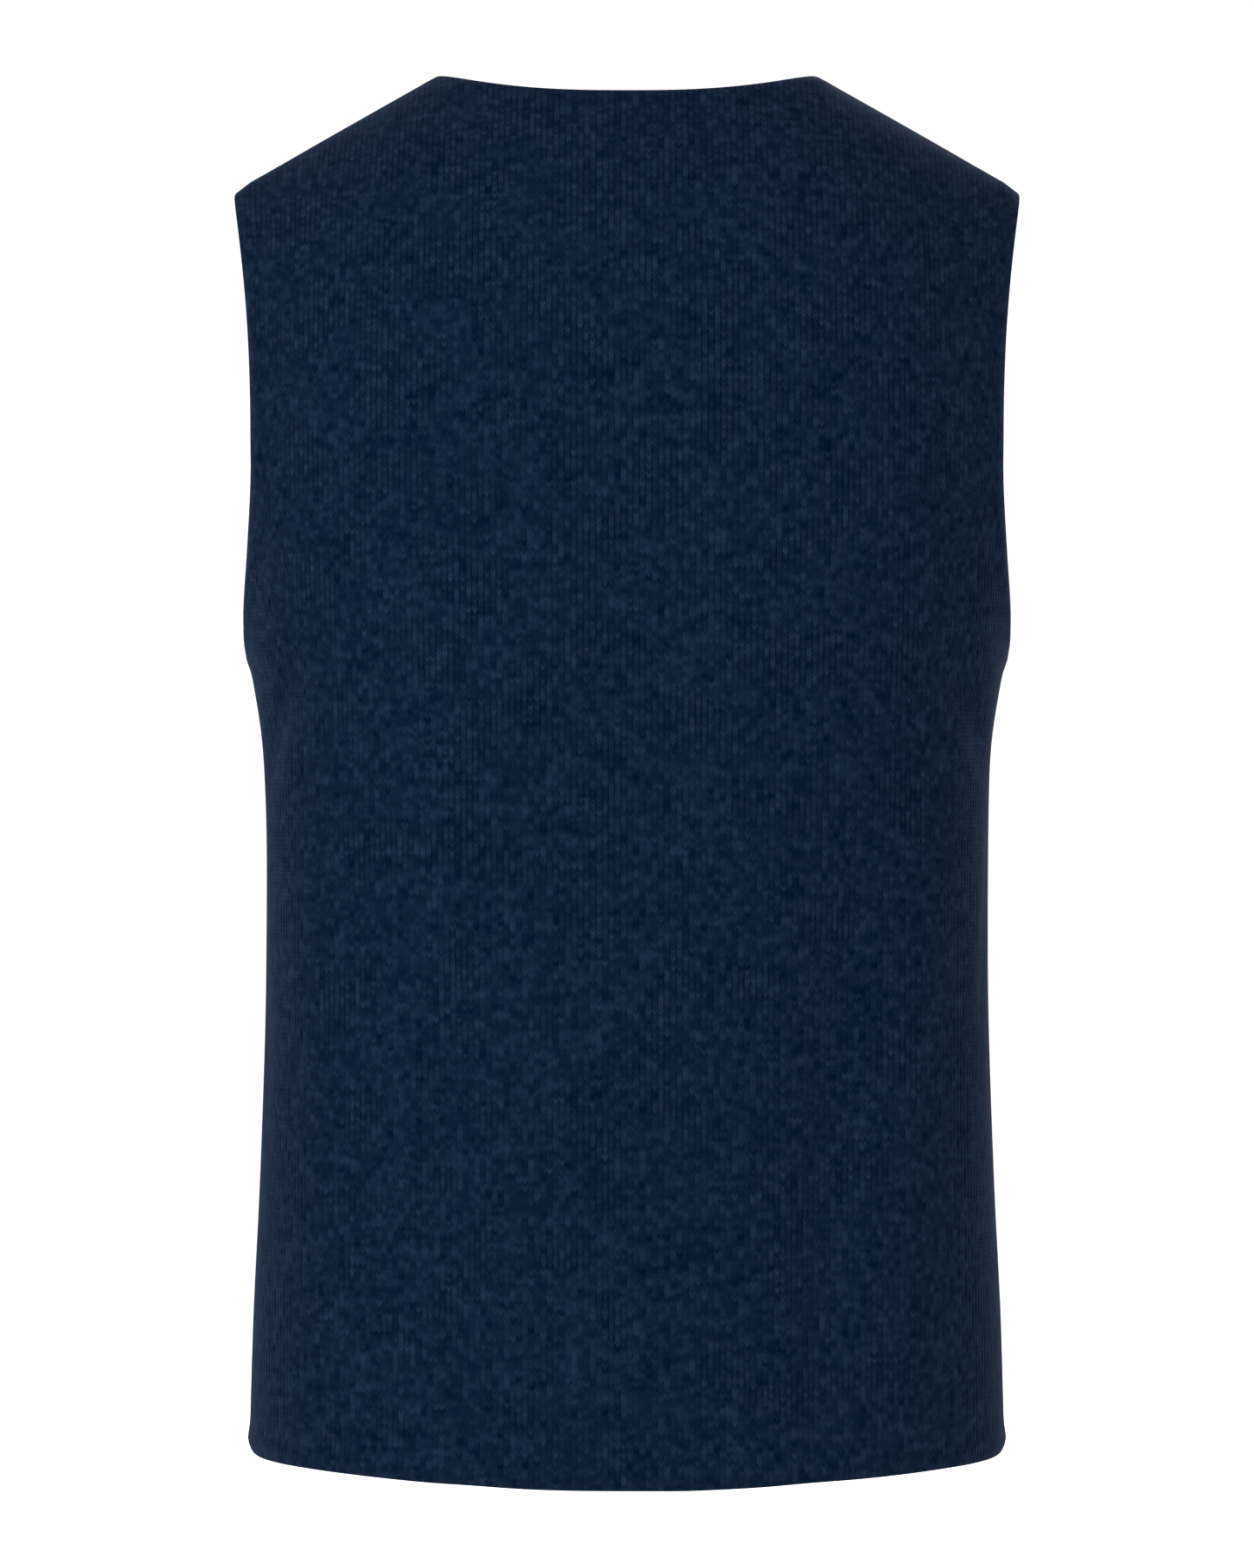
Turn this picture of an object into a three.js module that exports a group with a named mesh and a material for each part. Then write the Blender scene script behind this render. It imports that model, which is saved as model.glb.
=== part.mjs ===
// A knitted sweater vest, filled out as it is when worn, with nobody in it. It is sewn from two plain
// jersey panels, a back and a V-necked front, which meet at the side seams and at the shoulder seams.
// The neck, both armholes and the hem are open, with the knit turned in so that no band shows.
//
// Millimetres, +Z up. The back faces -Y and the front +Y, so +X is the wearer's right.
// The origin is the middle of the neck opening, level with the two points where the neckline meets the
// shoulders. The wearer's shoulders carry the vest there. In the sizes below, heights are from the hem.

import * as THREE from "three";

// The cloth.
const WALL = 2;
const SEAM_GAP = 0.3;

// The neck and the shoulders. A shoulder runs straight from the neck point down to its tip. Inside the
// neck point its line would climb on, ever less, to the middle of the neck.
const NECK_HALF_WIDTH = 84;
const NECK_HEIGHT = 605;
const NECK_RISE_POWER = 2.6; // a higher power levels the line off sooner
const SHOULDER_HALF_WIDTH = 172.8;
const SHOULDER_HEIGHT = 555.2;
const SHOULDER_ROUNDING = 1.5; // how far the tip's corner is rounded down
const SEAM_FORWARD = 12; // the shoulder seam lies this far in front of the ridge

// The neckline, seen from above, is half a rounded oblong behind the neck. In front it is a V.
const BACK_NECK_DEPTH = 66;
const BACK_NECK_SQUARE = 3; // 2 is an ellipse, above 2 is squarer
const V_POINT_HEIGHT = 385;
const V_POWER = 1.1; // 1 is a straight edge, above 1 bows it towards the neck

// Below the yoke the cloth goes round the body in rings. Above it, each column of the knit bends over
// the shoulder in an arch.
const UNDERARM_HEIGHT = 357;
const YOKE_HEIGHT = 440;

// The rings: half the width, how far the cloth stands behind and in front of the side seams, and how
// square the ring is, where 2 is an ellipse.
const RINGS = [
  { height: 0, backHalf: 165.4, frontHalf: 165.4, back: 103, front: 109, square: 2.05 },
  { height: 60, backHalf: 164.2, frontHalf: 164.2, back: 101, front: 110, square: 2.1 },
  { height: 120, backHalf: 161.2, frontHalf: 161.2, back: 98, front: 111, square: 2.15 },
  { height: 190, backHalf: 158.3, frontHalf: 158.3, back: 96, front: 112.5, square: 2.2 },
  { height: 240, backHalf: 157.6, frontHalf: 157.6, back: 97, front: 114.5, square: 2.3 },
  { height: 290, backHalf: 158.0, frontHalf: 158.0, back: 101, front: 117.5, square: 2.4 },
  { height: 315, backHalf: 159.8, frontHalf: 159.8, back: 105, front: 119.2, square: 2.4 },
  { height: 340, backHalf: 163.6, frontHalf: 163.6, back: 109, front: 120.5, square: 2.4 },
  { height: 357, backHalf: 167.2, frontHalf: 167.2, back: 112, front: 121.2, square: 2.4 },
  { height: 372, backHalf: 169.4, frontHalf: 169.4, back: 114, front: 121.4, square: 2.4 },
  { height: 390, backHalf: 171.4, frontHalf: 171.2, back: 116, front: 121.2, square: 2.4 },
  { height: 410, backHalf: 173.6, frontHalf: 172.6, back: 117.4, front: 120.6, square: 2.4 },
  { height: 440, backHalf: 175.6, frontHalf: 173.4, back: 118, front: 119.6, square: 2.4 },
];
const RING_SIZES = ["backHalf", "frontHalf", "back", "front", "square"];

// The hem curls in under the body, and dips a little at the middle of the back and of the front.
const HEM_CURL = 5;
const HEM_CURL_HEIGHT = 11;
const HEM_DIP = 3.6;
const HEM_DIP_SHARE = 0.65; // the dip ends at this share of the way to the side seam

// What differs between the panels: the side of the body, how far the armhole is cut into the yoke ring,
// and how late the columns spread out to the shoulder's width.
const BACK = { name: "back", side: -1, armholeDepth: 60, spread: 2.2 };
const FRONT = { name: "front", side: 1, armholeDepth: 70, spread: 1.2 };

// Soft folds. The angle goes round the body from the centre back, positive to the wearer's right.
// Tilt turns a fold's upper end that way. A negative depth is a trough.
const MM_PER_DEGREE = 2.7;
const FOLDS = [
  { angle: 0, height: 300, halfLength: 120, halfWidth: 34, depth: -2.2, tilt: 0 },
  { angle: 38, height: 120, halfLength: 135, halfWidth: 20, depth: -3.2, tilt: 5 },
  { angle: -33, height: 95, halfLength: 105, halfWidth: 17, depth: -2.6, tilt: -7 },
  { angle: 57, height: 165, halfLength: 120, halfWidth: 15, depth: 2.4, tilt: 3 },
  { angle: -60, height: 140, halfLength: 100, halfWidth: 16, depth: 2.2, tilt: -4 },
  { angle: 66, height: 330, halfLength: 38, halfWidth: 9, depth: -2.6, tilt: -48 },
  { angle: -68, height: 326, halfLength: 44, halfWidth: 9, depth: -2.8, tilt: 44 },
  { angle: 141, height: 130, halfLength: 140, halfWidth: 19, depth: -4.6, tilt: 6 },
  { angle: -146, height: 105, halfLength: 115, halfWidth: 17, depth: -4.0, tilt: -9 },
  { angle: 162, height: 90, halfLength: 95, halfWidth: 16, depth: 2.8, tilt: 4 },
  { angle: -124, height: 150, halfLength: 120, halfWidth: 15, depth: 2.6, tilt: -3 },
  { angle: 118, height: 322, halfLength: 46, halfWidth: 10, depth: -3.6, tilt: 52 },
  { angle: -116, height: 328, halfLength: 40, halfWidth: 10, depth: -3.2, tilt: -56 },
];
const FOLDS_FADE_FROM = 1.3; // climbs between which the folds die out towards the shoulders
const FOLDS_FADE_TO = 1.8;

// The grid that each panel is worked out on: columns per half, inside and outside the neck point, and
// rows in the hem's curl, from there to the underarm, and above it.
const NECK_COLUMNS = 8;
const SHOULDER_COLUMNS = 12;
const CURL_ROWS = 3;
const BODY_ROWS = 13;
const ARMHOLE_ROWS = 18;
const BODY_EASE = 1.35; // above 1 crowds the rows under the arm
const ARMHOLE_EASE = 1.8; // above 1 crowds the rows at the foot of the armhole, where its edge turns
const NECK_COLUMN = 0.46; // where the neck point lies between the centre, 0, and the panel's edge, 1

const RIGHT_ANGLE = Math.PI / 2;
const ARC_STEPS = 72;
const STEP_UP = 0.5; // millimetres, for finding the cloth's direction on a ring
const STEP = 0.002; // the same as a share of a ring, a column's place or an arch's turn

const between = (a, b, share) => a + (b - a) * share;

// A ring's sizes at any height: a cubic through the rows of the table, less the hem's curl.
function ringSizes(height) {
  const last = RINGS.length - 1;
  const above = RINGS.findIndex((ring) => ring.height > height);
  const i = above < 0 ? last - 1 : Math.max(above - 1, 0);
  const span = RINGS[i + 1].height - RINGS[i].height;
  const t = (height - RINGS[i].height) / span;
  const sizes = {};
  for (const key of RING_SIZES) {
    const slope = (k) => {
      const low = RINGS[Math.max(k - 1, 0)];
      const high = RINGS[Math.min(k + 1, last)];
      return (high[key] - low[key]) / (high.height - low.height);
    };
    sizes[key] =
      RINGS[i][key] * (2 * t ** 3 - 3 * t ** 2 + 1) +
      RINGS[i + 1][key] * (3 * t ** 2 - 2 * t ** 3) +
      slope(i) * span * (t ** 3 - 2 * t ** 2 + t) +
      slope(i + 1) * span * (t ** 3 - t ** 2);
  }
  const curl = HEM_CURL * Math.max(0, 1 - height / HEM_CURL_HEIGHT) ** 2;
  for (const key of ["backHalf", "frontHalf", "back", "front"]) sizes[key] -= curl;
  return sizes;
}

// A quarter of a panel's ring, from the centre of the panel to the side seam: a superellipse.
// pointAt takes the distance along it from the centre, and length is the whole quarter.
function quarterRing(panel, height) {
  const sizes = ringSizes(height);
  const half = panel === BACK ? sizes.backHalf : sizes.frontHalf;
  const depth = panel === BACK ? sizes.back : sizes.front;
  const onRing = (turn) => {
    const across = Math.cos(turn);
    const out = Math.sin(turn);
    const sum = Math.abs(across / half) ** sizes.square + Math.abs(out / depth) ** sizes.square;
    const radius = sum ** (-1 / sizes.square);
    return { x: radius * across, y: radius * out };
  };
  const lastTurn = SEAM_GAP / 2 / half;
  const turns = [RIGHT_ANGLE];
  const lengths = [0];
  for (let k = 1; k <= ARC_STEPS; k++) {
    turns.push(between(RIGHT_ANGLE, lastTurn, k / ARC_STEPS));
    const from = onRing(turns[k - 1]);
    const to = onRing(turns[k]);
    lengths.push(lengths[k - 1] + Math.hypot(to.x - from.x, to.y - from.y));
  }
  const pointAt = (distance) => {
    const passed = lengths.findIndex((length) => length > distance);
    const k = passed < 0 ? ARC_STEPS : Math.max(passed, 1);
    const share = (distance - lengths[k - 1]) / (lengths[k] - lengths[k - 1]);
    return onRing(between(turns[k - 1], turns[k], share));
  };
  return { pointAt, length: lengths[ARC_STEPS] };
}

// The distance along a ring from its centre at which a test of its points starts to hold.
function distanceUntil(ring, test) {
  let low = 0;
  let high = ring.length;
  while (high - low > 1e-6) {
    const middle = (low + high) / 2;
    if (test(ring.pointAt(middle))) high = middle;
    else low = middle;
  }
  return low;
}

// How far along the yoke ring the neck point's column and the armhole's edge lie.
for (const panel of [BACK, FRONT]) {
  const yoke = quarterRing(panel, YOKE_HEIGHT);
  panel.neckReach = distanceUntil(yoke, (point) => point.x > NECK_HALF_WIDTH);
  panel.armholeReach = distanceUntil(yoke, (point) => point.y < panel.armholeDepth);
}

// How far round the ring a column lies, as a share of the way from the panel's centre to the side seam.
// Columns inside the neck point keep their distance from the centre. The others share what is left as
// far as the side seam or the armhole, whose lower part is a quarter of an ellipse from the underarm to
// the yoke.
function shareAt(panel, column, height) {
  const { length } = quarterRing(panel, height);
  if (column <= NECK_COLUMN) return ((column / NECK_COLUMN) * panel.neckReach) / length;
  const down = Math.min(1, (YOKE_HEIGHT - height) / (YOKE_HEIGHT - UNDERARM_HEIGHT));
  const edge = between(panel.armholeReach, length, 1 - Math.sqrt(1 - down ** 2));
  return between(panel.neckReach, edge, (column - NECK_COLUMN) / (1 - NECK_COLUMN)) / length;
}

function ringPoint(panel, share, height) {
  const ring = quarterRing(panel, height);
  const { x, y } = ring.pointAt(share * ring.length);
  return new THREE.Vector3(x, panel.side * y, height - NECK_HEIGHT);
}

// Where a column's arch stands on the yoke.
const footOf = (panel, column) => ringPoint(panel, shareAt(panel, column, YOKE_HEIGHT), YOKE_HEIGHT);

// The top of a column's arch: the shoulder's line, and its climb inside the neck point.
function ridgeOf(column) {
  if (column >= NECK_COLUMN) {
    const out = (column - NECK_COLUMN) / (1 - NECK_COLUMN);
    const tip = Math.max(0, 1 - (1 - out) * SHOULDER_COLUMNS);
    const height = between(NECK_HEIGHT, SHOULDER_HEIGHT, out) - SHOULDER_ROUNDING * tip;
    return { x: between(NECK_HALF_WIDTH, SHOULDER_HALF_WIDTH, out), height };
  }
  const across = column / NECK_COLUMN;
  const slope = (NECK_HEIGHT - SHOULDER_HEIGHT) / (SHOULDER_HALF_WIDTH - NECK_HALF_WIDTH);
  const rise = (slope * NECK_HALF_WIDTH * (1 - Math.abs(across) ** NECK_RISE_POWER)) / NECK_RISE_POWER;
  return { x: across * NECK_HALF_WIDTH, height: NECK_HEIGHT + rise };
}

// A point of a column's arch, which turns through a right angle from the yoke to the ridge.
function archPoint(panel, column, turn) {
  const foot = footOf(panel, column);
  const ridge = ridgeOf(column);
  const rise = Math.sin(turn * RIGHT_ANGLE);
  return new THREE.Vector3(
    between(foot.x, ridge.x, Math.max(0, rise) ** panel.spread),
    foot.y * Math.cos(turn * RIGHT_ANGLE),
    between(YOKE_HEIGHT, ridge.height, rise) - NECK_HEIGHT,
  );
}

// How far a column's arch has turned where it stands at y, as a share of a right angle.
const turnAt = (panel, column, y) => Math.acos(y / footOf(panel, column).y) / RIGHT_ANGLE;

// A column is followed by its climb: 0 at the hem, 1 at the yoke, 2 at the ridge, and on past 2 down
// the other side, which only the back panel uses. The wall faces square to two short steps along the
// cloth, one round the body and one up.
function clothAt(panel, column, climb) {
  let stepped;
  let share;
  if (climb < 1) {
    const height = climb * YOKE_HEIGHT;
    share = shareAt(panel, column, height);
    stepped = (round, up) => ringPoint(panel, share + round * STEP, height + up * STEP_UP);
  } else {
    share = shareAt(panel, column, YOKE_HEIGHT);
    stepped = (round, up) => {
      const turn = climb - 1 + up * STEP;
      if (turn > 1) return archPoint(FRONT, column + round * STEP, 2 - turn);
      return archPoint(panel, column + round * STEP, turn);
    };
  }
  const roundStep = stepped(1, 0).sub(stepped(-1, 0));
  const upStep = stepped(0, 1).sub(stepped(0, -1));
  const out = roundStep.cross(upStep).multiplyScalar(-panel.side).normalize();
  return { point: stepped(0, 0), out, share };
}

// Where a column starts, on the dipping hem.
function bottomOf(panel, column) {
  const share = shareAt(panel, column, 0);
  return (HEM_DIP / YOKE_HEIGHT) * THREE.MathUtils.smoothstep(share, 0, HEM_DIP_SHARE);
}

// Where a column ends: at the neckline inside the neck point, and at the shoulder seam outside it.
function topOf(panel, column) {
  const seamY = SEAM_FORWARD + (panel.side * SEAM_GAP) / 2;
  if (panel === BACK) {
    const across = Math.min(1, column / NECK_COLUMN);
    const behind = (1 - across ** BACK_NECK_SQUARE) ** (1 / BACK_NECK_SQUARE);
    const y = seamY - (SEAM_FORWARD + BACK_NECK_DEPTH) * behind;
    return y > 0 ? 3 - turnAt(FRONT, column, y) : 1 + turnAt(BACK, column, y);
  }
  if (column >= NECK_COLUMN) return 1 + turnAt(FRONT, column, seamY);
  const seamTurn = turnAt(FRONT, NECK_COLUMN, seamY) * RIGHT_ANGLE;
  const seamHeight = between(YOKE_HEIGHT, NECK_HEIGHT, Math.sin(seamTurn));
  const height = between(V_POINT_HEIGHT, seamHeight, (column / NECK_COLUMN) ** V_POWER);
  if (height < YOKE_HEIGHT) return height / YOKE_HEIGHT;
  const rise = (height - YOKE_HEIGHT) / (ridgeOf(column).height - YOKE_HEIGHT);
  return 1 + Math.asin(rise) / RIGHT_ANGLE;
}

// How far the folds move the cloth out at a place, which is the sum of soft bumps.
function foldAt(angle, height) {
  let out = 0;
  for (const fold of FOLDS) {
    const turned = THREE.MathUtils.euclideanModulo(angle - fold.angle + 180, 360) - 180;
    const round = turned * MM_PER_DEGREE;
    const up = height - fold.height;
    const tilt = THREE.MathUtils.degToRad(fold.tilt);
    const along = (up * Math.cos(tilt) + round * Math.sin(tilt)) / fold.halfLength;
    const across = (round * Math.cos(tilt) - up * Math.sin(tilt)) / fold.halfWidth;
    out += fold.depth * Math.exp(-(across ** 2) - along ** 4);
  }
  return out;
}

// The outer and the inner point of the wall. The hand is -1 on the wearer's left and 1 on the right.
function wallPoints(panel, hand, column, climb) {
  const { point, out, share } = clothAt(panel, column, climb);
  const angle = hand * (panel === BACK ? 90 * share : 180 - 90 * share);
  const fade = 1 - THREE.MathUtils.smoothstep(climb, FOLDS_FADE_FROM, FOLDS_FADE_TO);
  const fold = fade * foldAt(angle, point.z + NECK_HEIGHT);
  const mirror = new THREE.Vector3(hand, 1, 1);
  return [fold, fold - WALL].map((offset) => point.clone().addScaledVector(out, offset).multiply(mirror));
}

// The columns of a whole panel, from the wearer's left to the right, crowded towards the neck points.
function panelColumns() {
  const half = [];
  for (let k = 1; k <= NECK_COLUMNS; k++) {
    half.push(NECK_COLUMN * Math.sin((RIGHT_ANGLE * k) / NECK_COLUMNS));
  }
  for (let k = 1; k <= SHOULDER_COLUMNS; k++) {
    half.push(between(NECK_COLUMN, 1, k / SHOULDER_COLUMNS));
  }
  const left = half.toReversed().map((column) => ({ hand: -1, column }));
  const right = half.map((column) => ({ hand: 1, column }));
  return [...left, { hand: 1, column: 0 }, ...right];
}

// The climbs of a column's rows, from the hem up. The rows at the curl's top and the underarm are level.
function rowClimbs(panel, column) {
  const bottom = bottomOf(panel, column);
  const curl = HEM_CURL_HEIGHT / YOKE_HEIGHT;
  const underarm = UNDERARM_HEIGHT / YOKE_HEIGHT;
  const top = topOf(panel, column);
  const climbs = [];
  for (let k = 0; k < CURL_ROWS; k++) climbs.push(between(bottom, curl, k / CURL_ROWS));
  for (let k = BODY_ROWS; k > 0; k--) climbs.push(between(underarm, curl, (k / BODY_ROWS) ** BODY_EASE));
  for (let k = 0; k <= ARMHOLE_ROWS; k++) {
    climbs.push(between(underarm, top, (k / ARMHOLE_ROWS) ** ARMHOLE_EASE));
  }
  return climbs;
}

// A panel as one closed wall: its outer grid, its inner grid, and a rim that joins them all round. Each
// square of a grid is halved along its shorter diagonal, which follows the rows where they slant.
function panelGeometry(panel) {
  const outer = [];
  const inner = [];
  const columns = panelColumns();
  for (const { hand, column } of columns) {
    for (const climb of rowClimbs(panel, column)) {
      const [outside, inside] = wallPoints(panel, hand, column, climb);
      outer.push(outside);
      inner.push(inside);
    }
  }
  const size = outer.length;
  const rows = size / columns.length;
  const triangles = [];
  const quad = (a, b, c, d) => {
    if (panel === BACK) triangles.push(a, b, c, a, c, d);
    else triangles.push(a, c, b, a, d, c);
  };
  for (let column = 0; column + 1 < columns.length; column++) {
    for (let row = 0; row + 1 < rows; row++) {
      const corners = [0, rows, rows + 1, 1].map((step) => column * rows + row + step);
      const [a, b, c, d] = corners.map((corner) => outer[corner]);
      if (b.distanceTo(d) < a.distanceTo(c)) corners.push(corners.shift());
      quad(...corners);
      quad(...[0, 3, 2, 1].map((k) => size + corners[k]));
    }
  }
  const rim = [];
  for (let k = 0; k < size - rows; k += rows) rim.push(k);
  for (let k = size - rows; k < size - 1; k++) rim.push(k);
  for (let k = size - 1; k > rows - 1; k -= rows) rim.push(k);
  for (let k = rows - 1; k > 0; k--) rim.push(k);
  rim.forEach((start, k) => {
    const end = rim[(k + 1) % rim.length];
    quad(start, size + start, size + end, end);
  });
  const geometry = new THREE.BufferGeometry().setFromPoints([...outer, ...inner]);
  geometry.setIndex(triangles);
  geometry.computeVertexNormals();
  return geometry;
}

// Wool jersey in a heathered navy.
const navyWool = new THREE.MeshStandardMaterial({ color: 0x132136, roughness: 0.95, metalness: 0 });

const vest = new THREE.Group();
for (const panel of [BACK, FRONT]) {
  const mesh = new THREE.Mesh(panelGeometry(panel), navyWool.clone());
  mesh.name = panel.name;
  vest.add(mesh);
}

export default vest;
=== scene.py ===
# %% [markdown]
# # A knitted sweater vest
# The vest is seen from behind, filled out as it is when worn, with nobody in it. It is sewn from two
# panels of wool jersey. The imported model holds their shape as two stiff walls, and this lesson gives
# them what a model for simulation leaves out: rolled edges, seams, turned-in strips, and the knit.

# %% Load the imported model
import math

import bpy
import numpy as np
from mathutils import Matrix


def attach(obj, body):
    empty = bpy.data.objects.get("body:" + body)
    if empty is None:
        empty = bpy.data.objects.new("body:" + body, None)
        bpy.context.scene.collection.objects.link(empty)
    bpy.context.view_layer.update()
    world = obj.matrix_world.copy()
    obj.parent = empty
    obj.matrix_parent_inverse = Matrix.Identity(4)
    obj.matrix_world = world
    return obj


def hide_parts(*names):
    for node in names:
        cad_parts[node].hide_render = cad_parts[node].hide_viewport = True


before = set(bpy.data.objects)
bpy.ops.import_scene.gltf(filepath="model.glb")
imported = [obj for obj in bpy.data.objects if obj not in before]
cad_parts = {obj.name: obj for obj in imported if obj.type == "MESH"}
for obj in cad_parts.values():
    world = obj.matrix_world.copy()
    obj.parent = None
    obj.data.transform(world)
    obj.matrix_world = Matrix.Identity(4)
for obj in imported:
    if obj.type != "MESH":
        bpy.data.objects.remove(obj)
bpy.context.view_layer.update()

# %% [markdown]
# ## Camera
# The photograph looks level at the middle of the back from about two metres away, which is near enough
# for the hem and the neckline to curve. A long lens at that distance frames the whole vest.

# %% Camera
CAMERA_DISTANCE, CAMERA_LEVEL = 2.1, -0.3096
SENSOR, LENS = 36, 109.75
camera_data = bpy.data.cameras.new("camera")
camera_data.sensor_width = SENSOR
camera_data.lens = LENS
camera = bpy.data.objects.new("camera", camera_data)
camera.location = (0, -CAMERA_DISTANCE, CAMERA_LEVEL)
camera.rotation_euler = (math.radians(90), 0, 0)
bpy.context.collection.objects.link(camera)
bpy.context.scene.camera = camera
seen = CAMERA_DISTANCE * SENSOR / LENS
print("camera sees", round(seen, 3), "m from top to bottom at the vest's middle")

# %% [markdown]
# ## Colours and nodes
# Colours are written as the eye sees them, in sRGB hex, and one function turns them into the linear
# values that a shader works with. One more adds a shader node with its settings and its links. A link
# is given as a node, which means its first output, or as a node and the name of an output.

# %% Colour and node helpers
def linear(hex_colour):
    """Linear RGBA of an sRGB colour: each channel c becomes ((c + 0.055) / 1.055) ** 2.4."""
    channels = [int(hex_colour[k : k + 2], 16) / 255 for k in (1, 3, 5)]
    return (*(c / 12.92 if c <= 0.04045 else ((c + 0.055) / 1.055) ** 2.4 for c in channels), 1)


def add(tree, kind, inputs=None, **settings):
    """Adds a shader node, sets it up, and fills its inputs with values or with links."""
    node = tree.nodes.new("ShaderNode" + kind)
    for name, value in settings.items():
        setattr(node, name, value)
    for name, value in (inputs or {}).items():
        if isinstance(value, bpy.types.Node):
            tree.links.new(value.outputs[0], node.inputs[name])
        elif isinstance(value, tuple) and isinstance(value[0], bpy.types.Node):
            tree.links.new(value[0].outputs[value[1]], node.inputs[name])
        else:
            node.inputs[name].default_value = value
    return node


print("navy #132136 is linear", [round(c, 4) for c in linear("#132136")])

# %% [markdown]
# ## Studio
# The photograph's light is soft and comes from everywhere, a little more of it from the left, and the
# background is pure white. A white world gives both. A large lamp behind the vest on the left adds the
# slight difference between the sides, and one in front keeps the front as bright. The floor is a plain
# pale sheet well below the vest, which is held up.

# %% World and lamps
world = bpy.data.worlds.new("studio")
world.use_nodes = True
world.node_tree.nodes["Background"].inputs["Color"].default_value = (1, 1, 1, 1)
world.node_tree.nodes["Background"].inputs["Strength"].default_value = 1.12
bpy.context.scene.world = world
bpy.context.scene.view_settings.view_transform = "Standard"


def soft_lamp(name, place, target, size, watts):
    """A square lamp at a place, turned so that it shines at the target."""
    lamp_data = bpy.data.lights.new(name, "AREA")
    lamp_data.size = size
    lamp_data.energy = watts
    lamp = bpy.data.objects.new(name, lamp_data)
    lamp.location = place
    away = np.subtract(place, target)
    turn = math.atan2(away[0], -away[1])
    lean = math.atan2(math.hypot(away[0], away[1]), away[2])
    lamp.rotation_euler = (lean, 0, turn)
    bpy.context.collection.objects.link(lamp)


VEST_MIDDLE = (0, 0, -0.3)
LAMP_SIZE = 1.6
soft_lamp("key_lamp", (-1.5, -2.6, 0.4), VEST_MIDDLE, LAMP_SIZE, 65)
soft_lamp("fill_lamp", (0.9, 2.7, 0.5), VEST_MIDDLE, LAMP_SIZE, 48)
print("two lamps aimed at", VEST_MIDDLE)

# %% Floor
FLOOR_HALF, FLOOR_LEVEL = 40, -0.9
floor_mesh = bpy.data.meshes.new("floor")
square = np.array([[-1, -1, 0], [1, -1, 0], [1, 1, 0], [-1, 1, 0]])
floor_corners = square * FLOOR_HALF + [0, 0, FLOOR_LEVEL]
floor_mesh.from_pydata(floor_corners.tolist(), [], [(0, 1, 2, 3)])
floor = bpy.data.objects.new("floor", floor_mesh)
bpy.context.collection.objects.link(floor)
paper = bpy.data.materials.new("matt white paper")
paper.use_nodes = True
paper.node_tree.nodes["Principled BSDF"].inputs["Base Color"].default_value = linear("#F8F8F8")
paper.node_tree.nodes["Principled BSDF"].inputs["Roughness"].default_value = 0.9
floor_mesh.materials.append(paper)
print("floor at", FLOOR_LEVEL, "m")

# %% [markdown]
# ## The vest's measures
# These are the model's own sizes, in millimetres, with the neckline, the armholes and the hem trimmed
# by a millimetre or two to the photograph. Heights are from the hem up, and the neck points, where the
# neckline meets the shoulders, lie at 605, which is level 0 in the frame. Below the yoke the cloth goes
# round the body in rings. Above it, each column of the knit bends over in an arch.

# %% Sizes
MM = 0.001
SEAM_GAP = 0.3
NECK_HALF_WIDTH, NECK_HEIGHT, NECK_RISE_POWER = 84, 605, 2.6
SHOULDER_HALF_WIDTH, SHOULDER_HEIGHT, SHOULDER_ROUNDING = 172.8, 555.2, 1.5
SEAM_FORWARD = 12
BACK_NECK_DEPTH, BACK_NECK_SQUARE = 66.2, 2.55
V_POINT_HEIGHT, V_POWER = 385, 1.1
UNDERARM_HEIGHT, YOKE_HEIGHT = 357, 440
HEM_LEVEL, HEM_CURL, HEM_CURL_HEIGHT = -1.3, 3.4, 10
HEM_DIP, HEM_DIP_FROM, HEM_DIP_TO = 3.6, 0.1, 0.74
NECK_COLUMN = 0.46

# Height, half width behind, half width in front, depth behind, depth in front, squareness.
RINGS = np.array([
    (0, 165.4, 165.4, 103, 109, 2.05),
    (60, 163.6, 163.6, 101, 110, 2.1),
    (120, 160.7, 160.7, 98, 111, 2.15),
    (190, 158.3, 158.3, 96, 112.5, 2.2),
    (240, 157.9, 157.9, 97, 114.5, 2.3),
    (290, 158.5, 158.5, 101, 117.5, 2.4),
    (315, 159.8, 159.8, 105, 119.2, 2.4),
    (340, 163.6, 163.6, 109, 120.5, 2.4),
    (357, 167.2, 167.2, 112, 121.2, 2.4),
    (372, 169.4, 169.4, 114, 121.4, 2.4),
    (390, 171.4, 171.2, 116, 121.2, 2.4),
    (410, 173.6, 172.6, 117.4, 120.6, 2.4),
    (440, 175.6, 173.4, 118, 119.6, 2.4),
])

# Per panel: its side of the body, how far the armhole is cut in, and how late its columns spread out.
# The two panels were knitted apart, so the front's pattern starts elsewhere in the wool.
BACK = {"name": "back", "side": -1, "armhole_depth": 57.8, "spread": 2.2, "pattern_from": (0, 0)}
FRONT = {"name": "front", "side": 1, "armhole_depth": 67.8, "spread": 1.2, "pattern_from": (903, 371)}
print("neck point to hem:", NECK_HEIGHT, "mm")

# %% [markdown]
# ## Rings
# A ring is a superellipse: |x / half width| ** n + |y / depth| ** n = 1, where n is its squareness. An
# ellipse has a squareness of 2, and a body is a little fuller than that between its front and its
# sides. The sizes between two rows of the table follow a smooth cubic, so no row shows as a kink.

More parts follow.
